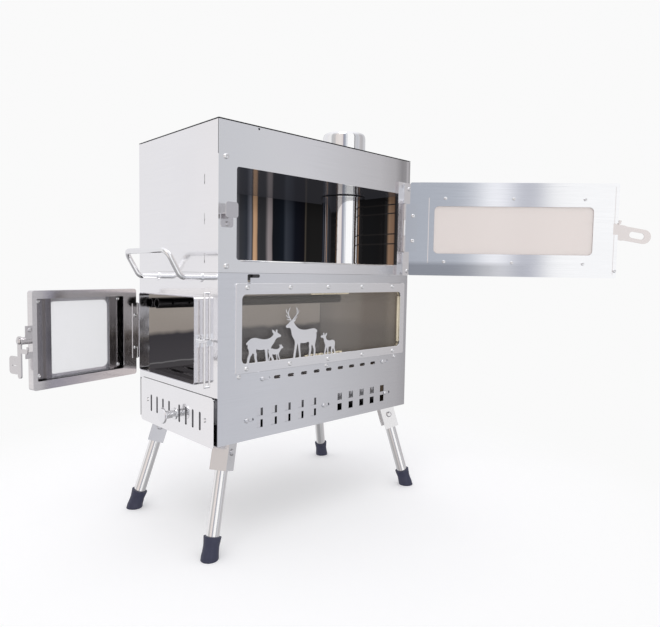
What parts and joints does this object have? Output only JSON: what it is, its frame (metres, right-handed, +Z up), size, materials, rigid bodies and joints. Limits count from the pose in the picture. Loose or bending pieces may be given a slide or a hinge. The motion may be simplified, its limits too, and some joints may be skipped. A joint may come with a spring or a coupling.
{
  "type": "folding camp oven",
  "caption": "Stainless folding camp oven: wood burning tent stove with an oven above the firebox, glazed doors, ash drawer, air sliders and folding legs.",
  "frame": {"origin": "on the ground under the middle of the body", "axes": "+Z up along the flue; +X to the right along the front, -Y towards the front, where the oven door and the window are"},
  "size_m": [0.9045, 0.5609, 0.6569],
  "materials": {
    "steel": "satin stainless sheet",
    "dark_steel": "heat-stained stainless",
    "glass": "clear ceramic glass",
    "gasket_rope": "woven glass rope",
    "rubber": "matt rubber"
  },
  "bodies": {
    "stove": {"front_panel": "steel", "rear_panel": "steel", "left_end_panel": "steel", "right_end_panel": "steel", "bottom_pan": "steel", "middle_deck": "dark_steel", "oven_front": "steel", "oven_wrap": "steel", "top_plate": "steel", "oven_liner": "dark_steel", "flue_pipe": "steel", "flue_collar": "steel", "window_frame": "steel", "window_glass": "glass", "window_gasket": "gasket_rope", "front_screws": "steel", "fuel_collar": "steel", "fuel_striker": "steel", "fixed_hinge_leaves": "steel", "hinge_pins": "dark_steel", "grate": "dark_steel", "inner_rails": "steel", "air_tubes": "dark_steel", "leg_brackets": "steel", "leg_pins": "steel", "oven_hinge_strip": "steel", "oven_catch": "steel", "left_handle": "steel", "right_handle": "steel"},
    "oven_door": {"oven_door_panel": "steel", "oven_glass_frame": "steel", "oven_door_glass": "glass", "oven_door_screws": "steel", "oven_door_leaf": "steel", "oven_latch_bolt": "steel"},
    "oven_latch": {"oven_latch_lever": "steel"},
    "fuel_door": {"fuel_door_pan": "steel", "fuel_door_glass": "glass", "fuel_glass_holders": "steel", "fuel_door_screws": "steel", "fuel_door_leaf": "steel", "fuel_latch_ears": "steel"},
    "fuel_latch": {"fuel_latch_lever": "steel"},
    "ash_drawer": {"drawer_front": "steel", "drawer_tray": "steel"},
    "air_shutter": {"drawer_shutter": "steel", "drawer_knob": "steel", "knob_spring": "steel"},
    "upper_slider": {"upper_air_slider": "steel"},
    "lower_slider": {"lower_air_slider": "steel"},
    "damper": {"damper_plate": "dark_steel"},
    "leg_front_left": {"front_left_leg": "steel", "front_left_foot": "rubber"},
    "leg_front_right": {"front_right_leg": "steel", "front_right_foot": "rubber"},
    "leg_rear_left": {"rear_left_leg": "steel", "rear_left_foot": "rubber"},
    "leg_rear_right": {"rear_right_leg": "steel", "rear_right_foot": "rubber"}
  },
  "joints": [
    {"name": "oven_door_hinge", "type": "hinge", "parent": "stove", "child": "oven_door", "pos_m": [0.1843, -0.1225, 0.4803], "axis": [0, 0, 1], "range_deg": [-133.3, 20]},
    {"name": "oven_latch_pivot", "type": "hinge", "parent": "oven_door", "child": "oven_latch", "pos_m": [0.43838, -0.37951, 0.4801], "axis": [-0.7278, -0.6858, 0], "range_deg": [-15, 40]},
    {"name": "fuel_door_hinge", "type": "hinge", "parent": "stove", "child": "fuel_door", "pos_m": [-0.2239, 0.08735, 0.301], "axis": [0, 0, 1], "range_deg": [-90, 75.15]},
    {"name": "fuel_latch_pivot", "type": "hinge", "parent": "fuel_door", "child": "fuel_latch", "pos_m": [-0.40947, 0.04197, 0.301], "axis": [-0.9666, -0.2563, 0], "range_deg": [-30, 19]},
    {"name": "ash_drawer_slide", "type": "slide", "parent": "stove", "child": "ash_drawer", "axis": [-1, 0, 0], "range_m": [0, 0.28]},
    {"name": "air_shutter_slide", "type": "slide", "parent": "ash_drawer", "child": "air_shutter", "axis": [0, 1, 0], "range_m": [0, 0.008]},
    {"name": "upper_air_slide", "type": "slide", "parent": "stove", "child": "upper_slider", "axis": [1, 0, 0], "range_m": [0, 0.0125]},
    {"name": "lower_air_slide", "type": "slide", "parent": "stove", "child": "lower_slider", "axis": [1, 0, 0], "range_m": [0, 0.0105]},
    {"name": "damper_slide", "type": "slide", "parent": "stove", "child": "damper", "axis": [1, 0, 0], "range_m": [-0.006, 0.0096]},
    {"name": "front_left_leg_fold", "type": "hinge", "parent": "stove", "child": "leg_front_left", "pos_m": [-0.18, -0.095, 0.139], "axis": [0.5, -0.866, 0], "range_deg": [0, 107]},
    {"name": "front_right_leg_fold", "type": "hinge", "parent": "stove", "child": "leg_front_right", "pos_m": [0.18, -0.095, 0.139], "axis": [0.5, 0.866, 0], "range_deg": [0, 107]},
    {"name": "rear_left_leg_fold", "type": "hinge", "parent": "stove", "child": "leg_rear_left", "pos_m": [-0.18, 0.095, 0.139], "axis": [-0.5, -0.866, 0], "range_deg": [0, 107]},
    {"name": "rear_right_leg_fold", "type": "hinge", "parent": "stove", "child": "leg_rear_right", "pos_m": [0.18, 0.095, 0.139], "axis": [-0.5, 0.866, 0], "range_deg": [0, 107]}
  ]
}
